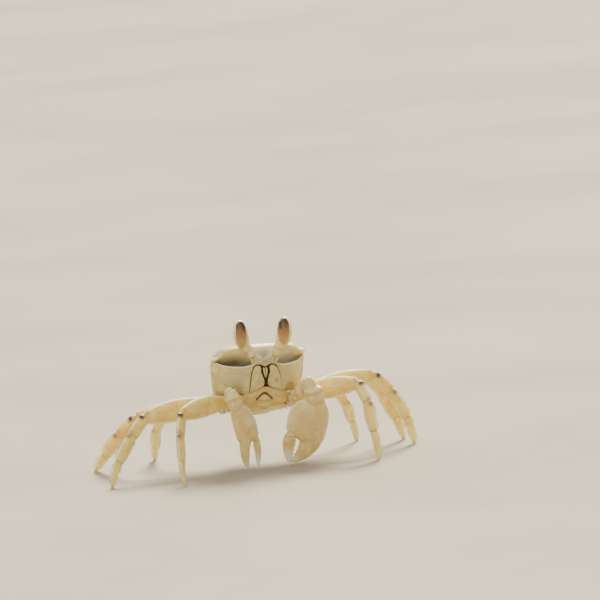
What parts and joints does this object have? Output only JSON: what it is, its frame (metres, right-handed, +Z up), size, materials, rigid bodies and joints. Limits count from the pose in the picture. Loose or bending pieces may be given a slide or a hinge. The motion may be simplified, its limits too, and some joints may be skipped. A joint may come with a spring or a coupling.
{
  "type": "ghost crab model",
  "caption": "Small pale beach crab standing with its front raised: box-shaped shell, tall stalked eyes, unequal claws hanging in front, and long flat walking legs.",
  "frame": {"origin": "on the floor under the centre of the crab's bounding box", "axes": "+X to the crab's left, -Y the way it faces, +Z up"},
  "size_m": [0.0878, 0.055, 0.0389],
  "materials": {
    "shell": "hard chitin shell, cream with a faint olive cast and grey-brown clouds on the back, finely grained, dull satin",
    "belly": "smooth pale straw chitin, satin",
    "claw": "hard cream chitin with fine beads and paler finger tips, satin",
    "leg": "thin straw-yellow chitin, slightly translucent, satin",
    "stalk": "smooth pale yellow chitin",
    "eye": "smooth glossy cornea, tan brown, darker at the top"
  },
  "bodies": {
    "root": {"carapace": "shell", "sternum": "belly", "abdomen": "belly", "maxilliped_right": "shell", "eyestalk_right": "stalk", "eye_right": "eye", "coxa_right_1": "belly", "coxa_right_2": "belly", "coxa_right_3": "belly", "coxa_right_4": "belly", "coxa_right_5": "belly", "claw_merus_right": "claw", "claw_carpus_right": "claw", "claw_palm_right": "claw", "claw_finger_right": "claw", "leg_right_1_merus": "leg", "leg_right_1_carpus": "leg", "leg_right_1_propodus": "leg", "leg_right_1_dactyl": "leg", "leg_right_2_merus": "leg", "leg_right_2_carpus": "leg", "leg_right_2_propodus": "leg", "leg_right_2_dactyl": "leg", "leg_right_3_merus": "leg", "leg_right_3_carpus": "leg", "leg_right_3_propodus": "leg", "leg_right_3_dactyl": "leg", "leg_right_4_merus": "leg", "leg_right_4_carpus": "leg", "leg_right_4_propodus": "leg", "leg_right_4_dactyl": "leg", "maxilliped_left": "shell", "eyestalk_left": "stalk", "eye_left": "eye", "coxa_left_1": "belly", "coxa_left_2": "belly", "coxa_left_3": "belly", "coxa_left_4": "belly", "coxa_left_5": "belly", "claw_merus_left": "claw", "claw_carpus_left": "claw", "claw_palm_left": "claw", "claw_finger_left": "claw", "leg_left_1_merus": "leg", "leg_left_1_carpus": "leg", "leg_left_1_propodus": "leg", "leg_left_1_dactyl": "leg", "leg_left_2_merus": "leg", "leg_left_2_carpus": "leg", "leg_left_2_propodus": "leg", "leg_left_2_dactyl": "leg", "leg_left_3_merus": "leg", "leg_left_3_carpus": "leg", "leg_left_3_propodus": "leg", "leg_left_3_dactyl": "leg", "leg_left_4_merus": "leg", "leg_left_4_carpus": "leg", "leg_left_4_propodus": "leg", "leg_left_4_dactyl": "leg"}
  },
  "joints": []
}
